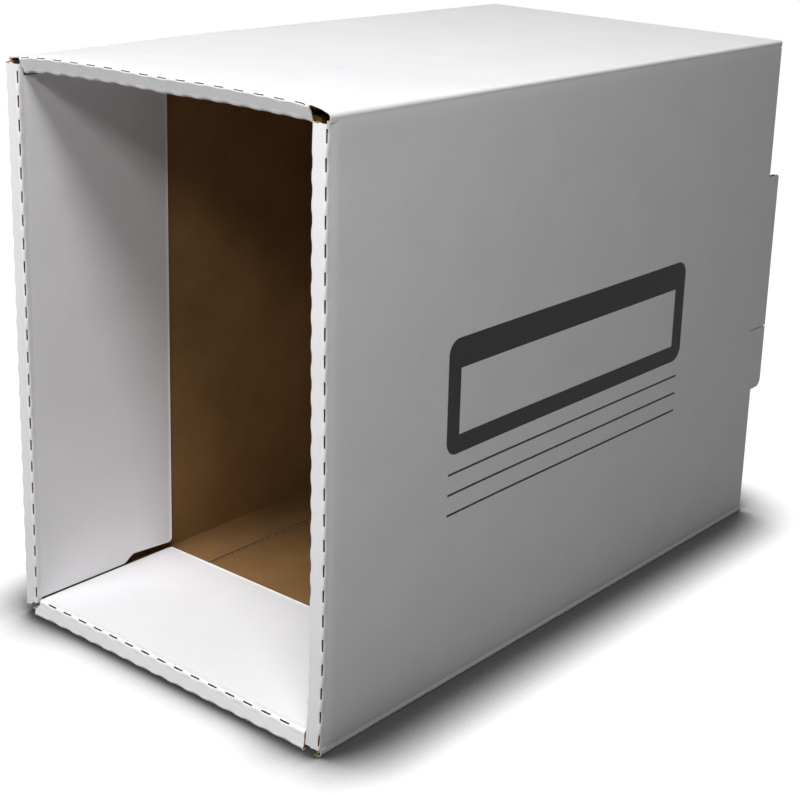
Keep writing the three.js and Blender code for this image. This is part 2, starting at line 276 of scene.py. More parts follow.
def wave_sheet(name, x0, x1, y0, y1):
    """The fluting: rows a quarter of a flute apart, lifted and lowered in turn. Smoothing takes
    off some of the height, so the rows are moved by a little more."""
    quarter = FLUTE_PITCH / 4
    rows = round((y1 - y0) / quarter) + 4
    middle = ((x0 + x1) / 2, (y0 + y1) / 2, BOARD / 2 + LINER / 2)
    bpy.ops.object.select_all(action="DESELECT")
    bpy.ops.mesh.primitive_grid_add(x_subdivisions=1, y_subdivisions=rows, size=1, location=middle)
    piece = bpy.context.object
    piece.name = name
    piece.data.name = name
    piece.scale = (x1 - x0, rows * quarter, 1)
    bpy.ops.object.transform_apply(location=True, rotation=True, scale=True)
    low = middle[1] - rows * quarter / 2
    lift = (BOARD / 2 - LINER) * FLUTE_LIFT
    bpy.ops.object.mode_set(mode="EDIT")
    for step, height in ((1, lift), (3, -lift)):
        pick(piece, "VERT", lambda x, y, z: round((y - low) / quarter) % 4 == step)
        bpy.ops.transform.translate(value=(0, 0, height))
    bpy.ops.object.mode_set(mode="OBJECT")
    smooth = piece.modifiers.new("round flutes", "SUBSURF")
    smooth.levels = smooth.render_levels = 1
    smooth.boundary_smooth = "PRESERVE_CORNERS"
    bpy.ops.object.modifier_apply(modifier=smooth.name)
    for material in BOARD_PAPERS:
        piece.data.materials.append(material)
    piece.data.polygons.foreach_set("material_index", [1] * len(piece.data.polygons))
    return piece


def add_liner(piece, x0, x1, y0, y1, z, slot):
    """One flat paper; slot 0 is the white one, whose face points down."""
    middle = ((x0 + x1) / 2, (y0 + y1) / 2, z)
    bpy.ops.mesh.select_mode(type="FACE")
    bpy.ops.mesh.select_all(action="DESELECT")
    bpy.ops.mesh.primitive_plane_add(size=1, location=middle)
    bpy.ops.transform.resize(value=(x1 - x0, y1 - y0, 1), center_override=middle)
    if slot == 0:
        bpy.ops.mesh.flip_normals()
    piece.active_material_index = slot
    bpy.ops.object.material_slot_assign()


# %% Finishing a piece of the blank
def press(piece, shift):
    """Moves each point by shift(x, y, z): a shape that no operator can follow."""
    for point in piece.data.vertices:
        point.co += Vector(shift(*point.co))


def fold_up(piece, place, along=0):
    """Notes where each point lies on the blank, then folds the piece to its place."""
    note = piece.data.attributes.new("blank", "FLOAT_VECTOR", "POINT")
    note.data.foreach_set("vector", [value * MM for point in piece.data.vertices
                                     for value in (point.co.x, point.co.y + along, point.co.z)])
    piece.matrix_world = FOLD[place]
    work_on(piece)
    bpy.ops.object.transform_apply(location=True, rotation=True, scale=True)


def give_thickness(piece, thickness, inner=0, rim=3):
    walls = piece.modifiers.new("paper", "SOLIDIFY")
    walls.thickness = thickness
    walls.offset = -1
    walls.material_offset = inner
    walls.material_offset_rim = rim
    bpy.ops.object.modifier_apply(modifier=walls.name)


# %% The board maker
def board(name, place, size, white, brown, rules=(), windows=(), rounds=(), lines=(), shoulders=(),
          shape=None, along=0, bowed_with=None):
    """A board in its flat frame.
    size: x0, x1, y0, y1 of the whole board. white, brown: how far each liner stops short of these.
    rules: (x, y, normal) cuts. windows: (x0, x1, y0, y1, lowest z, highest z) cut out.
    rounds: (x, y, radius) corners. lines: (x, y, normal, where) extra rows of points.
    shoulders: (test, move) edges of the brown liner that are pressed down along a crease."""
    x0, x1, y0, y1 = size
    piece = wave_sheet(name, x0, x1, y0, y1)
    work_on(piece)
    bpy.ops.object.mode_set(mode="EDIT")
    for x, y, normal in ((x0 + brown[0], 0, (-1, 0)), (x1 - brown[1], 0, (1, 0)),
                         (0, y0 + brown[2], (0, -1)), (0, y1 - brown[3], (0, 1))):
        slice_board(piece, x, y, normal, clear=True)
    add_liner(piece, x0 + white[0], x1 - white[1], y0 + white[2], y1 - white[3], 0, 0)
    add_liner(piece, x0 + brown[0], x1 - brown[1], y0 + brown[2], y1 - brown[3], BOARD, 2)
    for x, y, normal in rules:
        slice_board(piece, x, y, normal, clear=True)
    for wx0, wx1, wy0, wy1, low, high in windows:
        cut_window(piece, wx0, wx1, wy0, wy1, where=lambda x, y, z: low <= z <= high)
    for rx, ry, radius in rounds:
        if pick(piece, "VERT", lambda x, y, z: abs(x - rx) < 0.02 and abs(y - ry) < 0.02
                and in_liners(x, y, z)):
            bpy.ops.mesh.bevel(offset=radius, segments=8, affect="VERTICES")
    for x, y, normal, where in lines:
        slice_board(piece, x, y, normal, where=where)
    for test, move in shoulders:
        if pick(piece, "EDGE", lambda x, y, z: z > BOARD - 0.1 and test(x, y)):
            bpy.ops.mesh.extrude_edges_move(TRANSFORM_OT_translate={"value": move})
    bpy.ops.object.mode_set(mode="OBJECT")
    if shape:
        press(piece, shape)
    give_thickness(piece, LINER)
    fold_up(piece, place, along)
    bow_with(piece, bowed_with)
    bpy.ops.object.shade_smooth_by_angle(angle=radians(40))
    print(name, len(piece.data.polygons), "faces")
    return piece


# %% [markdown]
# ## The four walls
#
# The walls make the tube. Their front edges are creased and slit, so the board starts a little
# behind the fold, but at the two ends of each rim strip a notch is cut and the raw edge comes
# right to the front. Crushed board always sinks towards a crease, so the white liner dips by a
# few tenths of a millimetre there, which is what rounds off the light along every edge. Two walls
# also bow in the photograph: the top one's front edge stands 4 mm up near the right corner, and
# the right one's lower half stands 2 mm out. A wall is flat again further back.

# %% How far the papers stop short of a crease
LINER_STOP = TANGENT + 1
DIP_REACH = 9
DIP = {"bottom": 0.4, "right": 0.8, "top": 0.5, "left": 0.8}


def mitre(angle):
    """Where the brown face ends beside a crease that turns by this angle."""
    return BOARD * tan(radians(angle / 2)) + SEAT


def ease(t):
    t = min(max(t, 0), 1)
    return t * t * (3 - 2 * t)


def dip(distance, depth):
    """How far the white liner has sunk at this distance from a crease."""
    return depth * (1 - ease(distance / DIP_REACH)) ** 1.5


# %% Where the rim strips end
# In millimetres from the start and the end of the side: the strip's end on its outer crease, how
# much shorter it is on its inner crease, and how much shorter the outer crease itself is.
RIM_ENDS = {"bottom": (8, 10.6), "right": (4, 4), "top": (12.4, 9.6), "left": (4.2, 5)}
RIM_SLANT = {"bottom": (2.6, 0), "right": (0, 0), "top": (0, 1), "left": (0, 2.8)}
LEAD = {"bottom": (0.3, 0.3), "right": (0.5, 0.5), "top": (0.3, 1.5), "left": (1, 1)}
print("rim ends", RIM_ENDS)

# %% How the walls bow at the front
# Pairs of millimetres: a place along the front edge, and how far the wall stands out there.
BOW_REACH = 150
BOWS = {"right": ((0, 0), (15, 1.2), (50, 2.2), (110, 2.0), (160, 1.3), (200, 0.6), (240, 0),
                  (290, -0.5), (HEIGHT, 0)),
        "top": ((0, 0), (6, 2.0), (18, 3.8), (60, 4.2), (82, 4.0), (107, 3.2), (145, 3.1),
                (169, 2.5), (194, 1.6), (207, 0.6), (214, -0.6), (WIDTH, -2.1))}


def bow(side, x, y):
    """How far a wall stands out at x along its front edge; it is flat again at BOW_REACH."""
    for (x0, out0), (x1, out1) in zip(BOWS[side], BOWS[side][1:]):
        if x0 <= x <= x1:
            out = out0 + (out1 - out0) * (x - x0) / (x1 - x0)
            return out * (1 - ease(max(y, 0) / BOW_REACH))
    return 0


def bow_lines(side, length):
    """Rows of points across a board that bows, so that its papers can follow."""
    return [(x, 0, (1, 0), everywhere) for x in range(10, length, 12)] if side in BOWS else []


def bow_with(piece, side):
    """Bends a folded piece with the front of a wall, in the flat frame of that wall."""
    if side in BOWS:
        piece.data.transform(FOLD[side].inverted())
        press(piece, lambda x, y, z: (0, 0, -bow(side, x, y)))
        piece.data.transform(FOLD[side])


# %% Shoulders
def fold_line(limit, towards, span_test=None):
    """Test for the brown liner's edge at one limit; towards is the axis that it is counted on."""
    def test(x, y):
        value, other = (x, y) if towards == "x" else (y, x)
        return abs(value - limit) < 0.02 and (span_test is None or span_test(other))
    return test


SHOULDER_END = TANGENT + 0.9
CORNER_SHOULDER_END = TANGENT + 0.6
SHOULDER_DROP = 1.9


def shoulder(limit, end, towards="y", span_test=None, drop=SHOULDER_DROP):
    """Presses the brown liner's edge at one limit down to where the crease ends."""
    move = (0, end - limit) if towards == "y" else (end - limit, 0)
    return fold_line(limit, towards, span_test), (*move, -drop)


# %% Walls
CUT_BACK = 8
WHITE_CUT_BACK = {"bottom": 5, "right": 0.3, "top": 2, "left": 3}
REAR_WHITE, REAR_BROWN, REAR_SHOULDER = 3, 3.5, 2.4
CORNER_DIP = 0.3
DIP_ROWS = (9, 7.5, 6, 4.8, 3.8, 1.5)
DIP_ROWS_END = 11
CORNER_ROWS = ((12, 999), (9, 12), (6.5, 9), (4.5, 6.5))
BOW_ROWS, BOW_ROWS_END, BOW_MARGIN = range(24, 165, 12), 156, 12
WHITE_PAPER, BROWN_PAPERS, ALL_PAPERS = (-1, 0.1), (0.1, BOARD + 1), (-1, BOARD + 1)


def wall_rows(side, corners):
    """Rows of points where the white liner sinks, and where the wall bows."""
    rows = [(0, DIP_ROWS_END, (0, 1), in_white)]
    rows += [(0, distance, (0, 1), lambda x, y, z: in_white(x, y, z) and y < DIP_ROWS_END)
             for distance in DIP_ROWS]
    for x, sign in corners:
        rows += [(x + sign * distance, 0, (1, 0),
                  lambda px, y, z, x=x, reach=reach: in_white(px, y, z) and abs(px - x) < reach)
                 for distance, reach in CORNER_ROWS]
    if side in BOWS:  # a grid of about 10 mm, up to where the wall is flat again
        rows += [(0, y, (0, 1), in_liners) for y in BOW_ROWS]
        rows += [(x, 0, (1, 0), lambda x, y, z: y < BOW_ROWS_END)
                 for x in range(16, SPAN[side] - BOW_MARGIN, 10)]
    return rows


def wall(side, x0, x1, y1, start_fold, end_fold, rear_white, rear_brown, windows=(), rounds=()):
    """One wall: x0 to x1 round the tube, up to y1 at the rear; a fold at its start, its end."""
    front = mitre(90 + TILT[side])
    lead = LEAD[side]
    low, high = RIM_ENDS[side][0], SPAN[side] - RIM_ENDS[side][1]
    cut_white = WHITE_CUT_BACK[side]
    corners = [(x, sign) for x, folded, sign in ((x0, start_fold, 1), (x1, end_fold, -1)) if folded]
    white = [LINER_STOP if start_fold else 0, LINER_STOP if end_fold else 0, 0, rear_white]
    brown = [mitre(90) if start_fold else 0, mitre(90) if end_fold else 0, 0, rear_brown]
    notch = [(low + lead[0], high - lead[1], -1, LINER_STOP, *WHITE_PAPER),
             (low, high, -1, front, *BROWN_PAPERS),
             (x0 - 1, low, -1, CUT_BACK, *BROWN_PAPERS),
             (high, x1 + 1, -1, CUT_BACK, *BROWN_PAPERS),
             (x0 - 1, low, -1, cut_white, *WHITE_PAPER),
             (high, x1 + 1, -1, cut_white, *WHITE_PAPER)]
    shoulders = [shoulder(front, SHOULDER_END, span_test=lambda x: low < x < high)]
    shoulders += [shoulder(x + sign * mitre(90), x + sign * CORNER_SHOULDER_END, "x")
                  for x, sign in corners]
    shoulders.append(shoulder(y1 - rear_brown, y1 - REAR_SHOULDER))

    def shape(x, y, z):
        if not in_white(x, y, z):
            return (0, 0, 0)
        return (0, 0, dip(y, DIP[side]) + sum(dip(sign * (x - corner), CORNER_DIP)
                                              for corner, sign in corners))

    piece = board(side + "_wall_board", side, (x0, x1, 0, y1), white, brown,
                  windows=(*notch, *windows), rounds=rounds, lines=wall_rows(side, corners),
                  shoulders=shoulders, shape=shape, bowed_with=side)
    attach(piece, "shell")
    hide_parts(side + "_wall")


wall("bottom", 0, WIDTH, DEPTH, False, True, REAR_WHITE, REAR_BROWN)
wall("top", 0, WIDTH, DEPTH, True, True, REAR_WHITE, REAR_BROWN)
wall("left", 0, LEFT_SPAN, REAR_OUTSIDE, True, False, LINER_STOP, mitre(90))

# %% [markdown]
# ### The right wall and its tongue
#
# The right wall carries a tongue that stands out past the rear crease; it comes out of the side
# flap and leaves the slot that the rear panel locks into. The wall is therefore cut from a longer
# sheet, and two windows take away the board above and below the tongue.

# %% Right wall
TONGUE_SLIT, SLIT_REACH, SLIT_WIDTH = 127, 19, 0.7
LIP_LOW_ROUND, LIP_HIGH_ROUND = 5, 1.5
beside_tongue = [(x0, x1, DEPTH - stop, OVERALL + 1, *papers)
                 for stop, papers in ((REAR_WHITE, WHITE_PAPER), (REAR_BROWN, BROWN_PAPERS))
                 for x0, x1 in ((-1, LIP_LOW), (LIP_HIGH, HEIGHT + 1))]
slit = (TONGUE_SLIT - SLIT_WIDTH / 2, TONGUE_SLIT + SLIT_WIDTH / 2, OVERALL - SLIT_REACH,
        OVERALL + 1, *ALL_PAPERS)
wall("right", 0, HEIGHT, OVERALL, True, True, 0, 0, windows=[*beside_tongue, slit],
     rounds=[(LIP_LOW, OVERALL, LIP_LOW_ROUND), (LIP_HIGH, OVERALL, LIP_HIGH_ROUND)])

# %% [markdown]
# ### The write-on panel
#
# Boxes of this kind are printed with one flexo plate in black on the outside. Here the print is a
# plain write-on panel: a block with an empty field, and three ruled lines below it. It is a film
# of ink a few hundredths of a millimetre thick: a sheet is cut with the same rules as the board,
# the field is taken out, and the ink is mottled as a rubber plate leaves it.

# %% Flexo ink
def flexo_ink(name, solid, thin):
    """Black water-based ink: matt, and a little grey where the board took less of it."""
    material = bpy.data.materials.new(name)
    material.use_nodes = True
    surface = material.node_tree.nodes["Principled BSDF"]
    place = add_node(material, "TexCoord")
    uptake = add_node(material, "TexNoise", {"Vector": (place, "Object"), "Scale": 1 / (1.2 * MM),
                                             "Detail": 3, "Roughness": 0.7})
    spread = add_node(material, "MapRange", {"Value": (uptake, "Fac"), "From Min": 0.45,
                                             "From Max": 0.75})
    tone = add_node(material, "Mix", {"Factor": (spread, "Result"), "A": linear(solid),
                                      "B": linear(thin)}, data_type="RGBA")
    material.node_tree.links.new(tone.outputs["Result"], surface.inputs["Base Color"])
    surface.inputs["Roughness"].default_value = 0.7
    surface.inputs["IOR"].default_value = 1.45
    return material


flexo_black = flexo_ink("flexo_black_ink", "#0D0D0F", "#202022")

# %% Printing the panel
INK_FILM = 0.04
PRINT_LOW, PRINT_HIGH, PRINT_NEAR, PRINT_FAR = 129, 190, 88, 308
FIELD = (139, 174, 98, 298)
RULED_LINES = (119, 108, 97)
RULE_WIDTH, RULE_INSET = 1.2, 2
PRINT_CORNER = 8


def ink_block(x0, x1, y0, y1, corner=0):
    """A block of ink in the right wall's flat frame, its face outwards."""
    middle = ((x0 + x1) / 2, (y0 + y1) / 2, -INK_FILM / 2)
    bpy.ops.mesh.select_all(action="DESELECT")
    bpy.ops.mesh.primitive_plane_add(size=1, location=middle)
    bpy.ops.transform.resize(value=(x1 - x0, y1 - y0, 1), center_override=middle)
    bpy.ops.mesh.flip_normals()
    if corner:
        bpy.ops.mesh.bevel(offset=corner, segments=8, affect="VERTICES")


bpy.ops.object.select_all(action="DESELECT")
bpy.ops.mesh.primitive_plane_add(size=1, location=(0, 0, 0))
ink = bpy.context.object
ink.name = "write_on_panel"
ink.data.name = "write_on_panel"
bpy.ops.object.mode_set(mode="EDIT")
bpy.ops.mesh.select_all(action="SELECT")
bpy.ops.mesh.delete(type="VERT")
ink_block(PRINT_LOW, PRINT_HIGH, PRINT_NEAR, PRINT_FAR, corner=PRINT_CORNER)
cut_window(ink, *FIELD)
for height in RULED_LINES:
    ink_block(height - RULE_WIDTH / 2, height + RULE_WIDTH / 2,
              PRINT_NEAR + RULE_INSET, PRINT_FAR - RULE_INSET)
for y in range(96, 164, 12):  # rows of points, so that the film can bow with the wall
    slice_board(ink, 0, y, (0, 1))
for x in range(132, PRINT_HIGH, 10):
    slice_board(ink, x, 0, (1, 0), where=lambda px, y, z: px > PRINT_LOW)
bpy.ops.object.mode_set(mode="OBJECT")
ink.data.materials.append(flexo_black)
give_thickness(ink, INK_FILM, rim=0)
fold_up(ink, "right")
bow_with(ink, "right")
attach(ink, "shell")
print("write-on panel", len(ink.data.polygons), "faces")

# %% [markdown]
# ## Rim strips
#
# A rim strip is the ten millimetres of board between two perforated creases. It is cut like the
# walls, with rounded ends where the die relieves the corners. Some ends are also cut on a slant,
# so that two strips clear each other when both are folded; that is easiest as a shift of the
# points near the end, because the wave and both liners follow it together.

# %% Rims
RIM_CUT_BACK = 7
RIM_ROUND = 2.1
SLANT_REACH = 12
for side in SIDES:
    low, high = RIM_ENDS[side][0], SPAN[side] - RIM_ENDS[side][1]
    outer, inner = mitre(90 + TILT[side]), mitre(90 - TILT[side])

    def slanted(x, y, z, low=low, high=high, slant=RIM_SLANT[side]):
        """The die cuts the ends on a slant, shorter towards the panel."""
        inwards = slant[0] * (1 - ease((x - low) / SLANT_REACH))
        inwards -= slant[1] * (1 - ease((high - x) / SLANT_REACH))
        return (inwards * -y / RIM, 0, 0)

    rim = board(side + "_rim_board", side + "_rim", (low, high, -RIM, 0),
                (0, 0, LINER_STOP, LINER_STOP), (RIM_CUT_BACK, RIM_CUT_BACK, inner, outer),
                rounds=[(x, y, RIM_ROUND) for x in (low, high)
                        for y in (LINER_STOP - RIM, -LINER_STOP)],
                lines=bow_lines(side, SPAN[side]),
                shoulders=[shoulder(-outer, -SHOULDER_END),
                           shoulder(inner - RIM, SHOULDER_END - RIM)],
                shape=slanted, bowed_with=side)
    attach(rim, side + "_rim_body")
    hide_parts(side + "_rim")

# %% [markdown]
# ## Rolled-in panels
#
# Behind each rim a panel is rolled back into the mouth, with its white face showing. Its two ends
# are cut across the flutes, so the wave shows there, and the rear edge is cut along them. Along
# such an edge nothing holds the papers together and the white liner curls up by half a
# millimetre, which catches the light as a thin bright line. The far third of a hidden end tapers
# so that the panel slides in easily. The left panel's lower end has a small step instead, which
# clears the bottom panel.

# %% Rolls
ROLL_REACH = {"bottom": 95, "right": 98, "top": 95, "left": 98}
ROLL_END = RIM + 0.6
TAPER_FROM = 58
TAPER = {"bottom": (0, 3), "right": (3, 3), "top": (3, 3), "left": (3, 0)}
STEP_FROM, STEP_TO, STEP_IN, STEP_LEFT = 62, 69, 4.2, 2.1
STEP_EDGE = 6
CURL, CURL_WIDTH = 0.5, 1.6
CURL_ROWS = (0.4, 0.9, CURL_WIDTH)
ROLL_DIP = 0.3
ROLL_ROUND = 2.5
ROLL_ROWS = (4, 5.5, 7.5, 22, 36, 50, STEP_FROM, 64, 66, STEP_TO, 78)
BROWN_ROWS = (20, 80)
for side in SIDES:
    reach = ROLL_REACH[side]
    low, high = ROLL_END, SPAN[side] - ROLL_END
    inner = mitre(90 - TILT[side])
    start_taper, end_taper = TAPER[side]
    tapers = []
    for x, taper, sign in ((low, start_taper, -1), (high, end_taper, 1)):
        if taper:
            slope = Vector((reach - TAPER_FROM, taper)).normalized()
            tapers.append((x, -TAPER_FROM, (sign * slope.x, -slope.y)))

    def roll_shape(x, y, z, side=side, reach=reach, high=high):
        stepped = 0
        if side == "left" and x > high - STEP_EDGE:
            stepped = STEP_IN * ease((-y - STEP_FROM) / (STEP_TO - STEP_FROM))
            stepped -= STEP_LEFT * min(max((-y - STEP_TO) / (reach - STEP_TO), 0), 1)
        if z > 0.1:
            return (-stepped, 0, 0)
        free = y + reach
        return (-stepped, 0, dip(-y, ROLL_DIP) - CURL * (max(0, 1 - free / CURL_WIDTH)) ** 2)

    roll = board(side + "_roll_board", side + "_roll", (low, high, -reach, 0),
                 (0, 0, 0, LINER_STOP), (0, 0, 0, inner),
                 rules=tapers,
                 rounds=[(low + start_taper, -reach, ROLL_ROUND),
                         (high - end_taper, -reach, ROLL_ROUND)],
                 lines=[(0, -y, (0, 1), lambda x, y, z: in_white(x, y, z)
                         or (in_liners(x, y, z) and BROWN_ROWS[0] < -y < BROWN_ROWS[1]))
                        for y in (*ROLL_ROWS, *(reach - row for row in CURL_ROWS))]
                 + bow_lines(side, SPAN[side]),
                 shoulders=[shoulder(-inner, -SHOULDER_END)],
                 shape=roll_shape, along=-RIM, bowed_with=side)
    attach(roll, side + "_roll_body")
    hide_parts(side + "_roll_panel")

# %% [markdown]
# ## Perforated creases
#
# Between a wall and its rim, and between the rim and its panel, the board is scored and slit:
# a quarter-inch slit, a quarter-inch bridge. The slits are what the eye follows round the whole
# front. A crease is a strip of paper bent round a small radius. It starts as a grid whose columns
# are an eighth of the pitch, so that slits and bridges fall on its lines; its front edge is spun
# round the fold and drawn out on the other side. The faces of the slits are deleted, the bridges
# are pulled out a little and the lips of the slits pushed in, as the board does when it is folded.

# %% Slits of a crease
PITCH = 12.7
SLIT_PHASE = {("bottom", "outer"): 0, ("bottom", "inner"): -0.15, ("right", "outer"): 0.5,
              ("right", "inner"): 0.5, ("top", "outer"): 0.6, ("top", "inner"): 0.5,
              ("left", "outer"): 0.5, ("left", "inner"): 0.36}
CLOSER_PITCH = {("left", "inner"): 12.4}
SLIT_MARGIN = 1.2


def slit_centres(span, phase, low, high, pitch=PITCH):
    """The middles of the slits that fit between low and high, counted from the side's middle."""
    reach = pitch / 4 + SLIT_MARGIN
    first = span / 2 + (phase - 20) * pitch
    places = [first + step * pitch for step in range(41)]
    return [x for x in places if low + reach < x < high - reach]


# %% Bending a strip
BEND_STEPS = 14
STRIP_FLAT = 2.2


def bent_strip(name, x0, x1, angle, tangent, first, column):
    """A grid at y > 0 whose front edge is spun round the fold and drawn out on the other side.
    Its columns are counted from first, and the die trims it to x0, x1. It stays in edit mode."""
    radius = tangent / tan(radians(angle / 2))
    columns = ceil((x1 - first) / column)
    middle = (first + columns * column / 2, tangent + STRIP_FLAT / 2, 0)
    bpy.ops.object.select_all(action="DESELECT")
    bpy.ops.mesh.primitive_grid_add(x_subdivisions=columns, y_subdivisions=1, size=1,
                                    location=middle)
    piece = bpy.context.object
    piece.name = name
    piece.data.name = name
    piece.scale = (columns * column, STRIP_FLAT, 1)
    bpy.ops.object.transform_apply(location=True, rotation=True, scale=True)
    bpy.ops.object.mode_set(mode="EDIT")
    bpy.ops.mesh.select_all(action="SELECT")
    bpy.ops.mesh.flip_normals()
    pick(piece, "EDGE", lambda x, y, z: abs(y - tangent) < 0.01)
    bpy.ops.mesh.spin(steps=BEND_STEPS, angle=radians(angle), center=(0, tangent, radius),
                      axis=(1, 0, 0))
    out = (-cos(radians(angle)) * STRIP_FLAT, sin(radians(angle)) * STRIP_FLAT)
    bpy.ops.mesh.extrude_edges_move(TRANSFORM_OT_translate={"value": (0, *out)})
    bpy.ops.mesh.select_all(action="SELECT")
    bpy.ops.mesh.remove_doubles(threshold=0.001)
    bpy.ops.mesh.normals_make_consistent(inside=False)
    mesh = bmesh.from_edit_mesh(piece.data)
    flat = max(mesh.faces, key=lambda face: face.calc_center_median().y)
    if flat.normal.z > 0:
        bpy.ops.mesh.flip_normals()
    for x, normal in ((x0, (-1, 0)), (x1, (1, 0))):
        slice_board(piece, x, 0, normal, clear=True)
    return piece


# %% Setting a strip on the board
PROUD, TUCK = 0.06, 0.18


def set_on_board(piece, angle, tangent):
    """Lifts a strip clear of the liners and tucks its two long edges under their surface."""
    turned, end = radians(angle), tangent + STRIP_FLAT
    rim_side = Vector((0, -cos(turned), sin(turned))) * end
    pick(piece, "VERT", lambda x, y, z: y > end - 0.01)
    bpy.ops.transform.translate(value=(0, 0, TUCK))
    pick(piece, "VERT", lambda x, y, z: (Vector((0, y, z)) - rim_side).length < 0.01)
    bpy.ops.transform.translate(value=(0, sin(turned) * TUCK, cos(turned) * TUCK))
    bpy.ops.mesh.select_all(action="SELECT")
    bpy.ops.transform.translate(value=(0, -PROUD * tan(turned / 2), -PROUD))


# %% Crease maker
SLIT_STEPS = 4
BRIDGE_OUT, LIP_IN = 0.22, 0.15
STRIP_PAPER = 0.6


def crease(name, place, x0, x1, angle, tangent=TANGENT, slits=(), pitch=PITCH, sunk=None, along=0,
           paper=STRIP_PAPER):
    """A strip round the fold at y = 0 of a flat frame, from y > 0 to the panel folded up there.
    slits: the middle of each. sunk: how deep the wall's paper lies at a distance from the fold."""
    radius = tangent / tan(radians(angle / 2))
    half = radians(angle / 2)
    step = radians(angle) / BEND_STEPS
    outwards = Vector((0, -sin(half), -cos(half)))
    column = pitch / 8
    edge = slits[0] - pitch / 4 if slits else x0
    first = edge - column * ceil((edge - x0) / column)

    def bend_at(y, z):
        """How far round the bend a point lies, in steps."""
        return atan2(tangent - y, radius - z) / step

    def relief(x, y, z):
        """Bridges stand out a little, the lips of the slits sink in."""
        across = sin(pi * min(max(bend_at(y, z) / BEND_STEPS, 0), 1))
        from_slit = min(abs(x - centre) for centre in slits)
        bridge = ease((from_slit - pitch / 8) / (pitch / 4))
        return outwards * across * (BRIDGE_OUT * bridge - LIP_IN * (1 - bridge))

    def settle(x, y, z):
        """Lets the strip sink with the wall's paper, along the plane of the rim."""
        depth = sunk(max(y, 0))
        return (0, -depth / tan(2 * half), depth)

    piece = bent_strip(name, x0, x1, angle, tangent, first, column)
    side_steps = (BEND_STEPS - SLIT_STEPS) / 2
    if pick(piece, "FACE", lambda x, y, z: side_steps < bend_at(y, z) < BEND_STEPS - side_steps
            and any(abs(x - centre) < pitch / 4 - 0.01 for centre in slits)):
        bpy.ops.mesh.delete(type="FACE")
    set_on_board(piece, angle, tangent)
    bpy.ops.object.mode_set(mode="OBJECT")
    for material in CREASE_PAPERS:
        piece.data.materials.append(material)
    if slits:
        press(piece, relief)
    if sunk:
        press(piece, settle)
    give_thickness(piece, paper, inner=1, rim=2)
    fold_up(piece, place, along)
    bpy.ops.object.shade_smooth_by_angle(angle=radians(50))
    print(name, len(slits), "slits")
    return piece


def joined(piece):
    """Bakes the crease's transform into its mesh."""
    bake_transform(piece)


# %% Front creases
STRIP_OVER = 0.2
INNER_LEAD = 0.5
SLITS_FROM = ROLL_END - 4
for side in SIDES:
    span = SPAN[side]
    tilt = TILT[side]
    low, high = RIM_ENDS[side][0], span - RIM_ENDS[side][1]
    start, end = low + LEAD[side][0], high - LEAD[side][1]
    outer = crease(side + "_outer_crease", side, start - STRIP_OVER, end + STRIP_OVER, 90 + tilt,
                   slits=slit_centres(span, SLIT_PHASE[side, "outer"], start, end),
                   sunk=lambda y: dip(y, DIP[side]))
    joined(outer)
    bow_with(outer, side)
    low, high = low + RIM_SLANT[side][0], high - RIM_SLANT[side][1]
    pitch = CLOSER_PITCH.get((side, "inner"), PITCH)
    slits = slit_centres(span, SLIT_PHASE[side, "inner"], max(SLITS_FROM, low - STRIP_OVER),
                         min(span - SLITS_FROM, high + STRIP_OVER), pitch)
    FOLD[side + "_inner"] = FOLD[side + "_rim"] @ at(0, -RIM, 0)
    inner = crease(side + "_inner_crease", side + "_inner", low + INNER_LEAD, high - INNER_LEAD,
                   90 - tilt, slits=slits, pitch=pitch, along=-RIM)
    joined(inner)
    bow_with(inner, side)

# %% [markdown]
# ## Corners of the tube
#
# The three long corners are scored but not slit: a smooth roll of white paper from front to back.
# They don't move in use, so they ride with the walls. The fourth corner has the glue tab.

# %% Tube corners
CORNER_SINK = 0.25
CORNER_STOP = 1.5
for before, after, x, first, bowed_side in (("bottom", "right", WIDTH, 1.2, "right"),
                                            ("right", "top", HEIGHT, 1.2, "top"),
                                            ("top", "left", WIDTH, 3, "top")):
    FOLD[before + "_corner"] = FOLD[before] @ at(x, 0, 0) @ turn(90, "Z")
    corner = crease(before + "_" + after + "_corner", before + "_corner", first,
                    DEPTH - CORNER_STOP, 90, sunk=lambda y: CORNER_SINK, paper=LINER)
    bow_with(corner, bowed_side)
    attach(corner, "shell")

# %% Glue tab
TAB_REACH = 34
TAB_NEAR, TAB_FAR = 20, 384
TAB_SLANT = 8
THIN_ROWS, THIN_REACH, THIN_BY = (22, 25, 28, 31), 12, 0.6
tab = board("glue_tab_board", "glue", (0, TAB_REACH, TAB_NEAR, TAB_FAR), (LINER_STOP, 0, 0, 0),
            (mitre(90), 0, 0, 0),
            rules=[(0, TAB_NEAR, (TAB_SLANT, -TAB_REACH)), (0, TAB_FAR, (TAB_SLANT, TAB_REACH))],
            lines=[(x, 0, (1, 0), everywhere) for x in THIN_ROWS],
            shape=lambda x, y, z: (0, 0, -THIN_BY * z * ease((x - THIN_ROWS[0]) / THIN_REACH)))
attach(tab, "shell")
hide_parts("glue_tab")

# %% [markdown]
# ## The rear closure
#
# Three flaps fold in at the back, and a full panel on the left wall covers them. Its tab goes
# through a slot in the side flap, behind the tongue.

